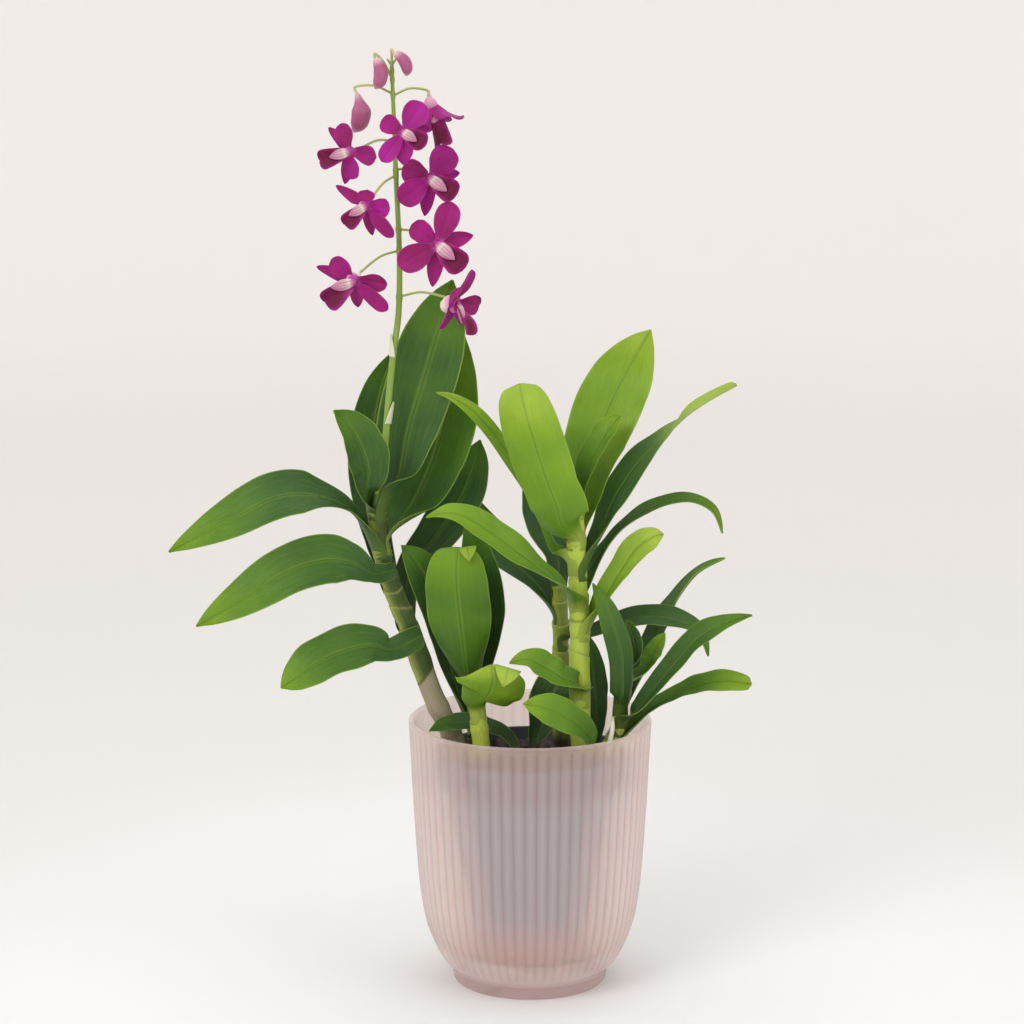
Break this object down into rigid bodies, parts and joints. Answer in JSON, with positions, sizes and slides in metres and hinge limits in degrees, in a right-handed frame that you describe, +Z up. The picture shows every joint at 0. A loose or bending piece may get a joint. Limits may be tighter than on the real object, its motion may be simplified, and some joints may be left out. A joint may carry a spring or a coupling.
{
  "type": "potted dendrobium orchid",
  "caption": "Dendrobium orchid with leafy canes and a magenta flower spike, in a nursery pot of bark inside a ribbed frosted glass pot.",
  "frame": {"origin": "centre of the glass pot's foot, on its flat underside", "axes": "+Z up the plant, +X to the right of the younger canes, -Y towards the side the blooms face"},
  "size_m": [0.3296, 0.14, 0.5373],
  "materials": {
    "frosted_glass": "frosted, ribbed outside, smooth rolled rim",
    "grey_plastic": "matte",
    "bark_chips": "rough, damp",
    "cane_skin": "smooth green with pale papery sheath low on the oldest cane",
    "dark_leaf": "satin, pale thin edge",
    "bright_leaf": "satin, pale thin edge",
    "stalk": "smooth",
    "magenta_petal": "velvety, white throat",
    "bud_skin": "velvety, pale tip",
    "pale_root": "matte"
  },
  "bodies": {
    "root": {"glass_pot": "frosted_glass", "nursery_pot": "grey_plastic", "bark": "bark_chips", "cane_a": "cane_skin", "cane_c": "cane_skin", "cane_d": "cane_skin", "cane_e": "cane_skin", "cane_f": "cane_skin", "cane_g": "cane_skin", "leaf_a1": "dark_leaf", "leaf_a2": "dark_leaf", "leaf_a3": "dark_leaf", "leaf_a4": "dark_leaf", "leaf_a5": "dark_leaf", "leaf_a6": "dark_leaf", "leaf_a7": "dark_leaf", "leaf_a8": "dark_leaf", "leaf_b1": "dark_leaf", "leaf_c1": "bright_leaf", "leaf_c2": "bright_leaf", "leaf_c3": "bright_leaf", "leaf_c4": "bright_leaf", "leaf_c5": "bright_leaf", "leaf_c6": "bright_leaf", "leaf_c7": "bright_leaf", "leaf_c8": "bright_leaf", "leaf_c9": "bright_leaf", "leaf_d1": "dark_leaf", "leaf_d2": "dark_leaf", "leaf_e1": "dark_leaf", "leaf_e2": "dark_leaf", "leaf_e3": "dark_leaf", "leaf_e4": "dark_leaf", "leaf_e5": "dark_leaf", "leaf_e6": "bright_leaf", "leaf_e7": "bright_leaf", "leaf_e8": "dark_leaf", "leaf_f1": "bright_leaf", "leaf_f2": "bright_leaf", "leaf_f3": "bright_leaf", "leaf_g1": "bright_leaf", "leaf_g2": "dark_leaf", "leaf_h": "dark_leaf", "flower_spike": "stalk", "bloom_1": "magenta_petal", "bloom_2": "magenta_petal", "bloom_3": "magenta_petal", "bloom_4": "magenta_petal", "bloom_5": "magenta_petal", "bloom_6": "magenta_petal", "bloom_7": "magenta_petal", "bloom_8": "magenta_petal", "bud_1": "bud_skin", "bud_2": "bud_skin", "bud_3": "bud_skin", "aerial_root": "pale_root"}
  },
  "joints": []
}
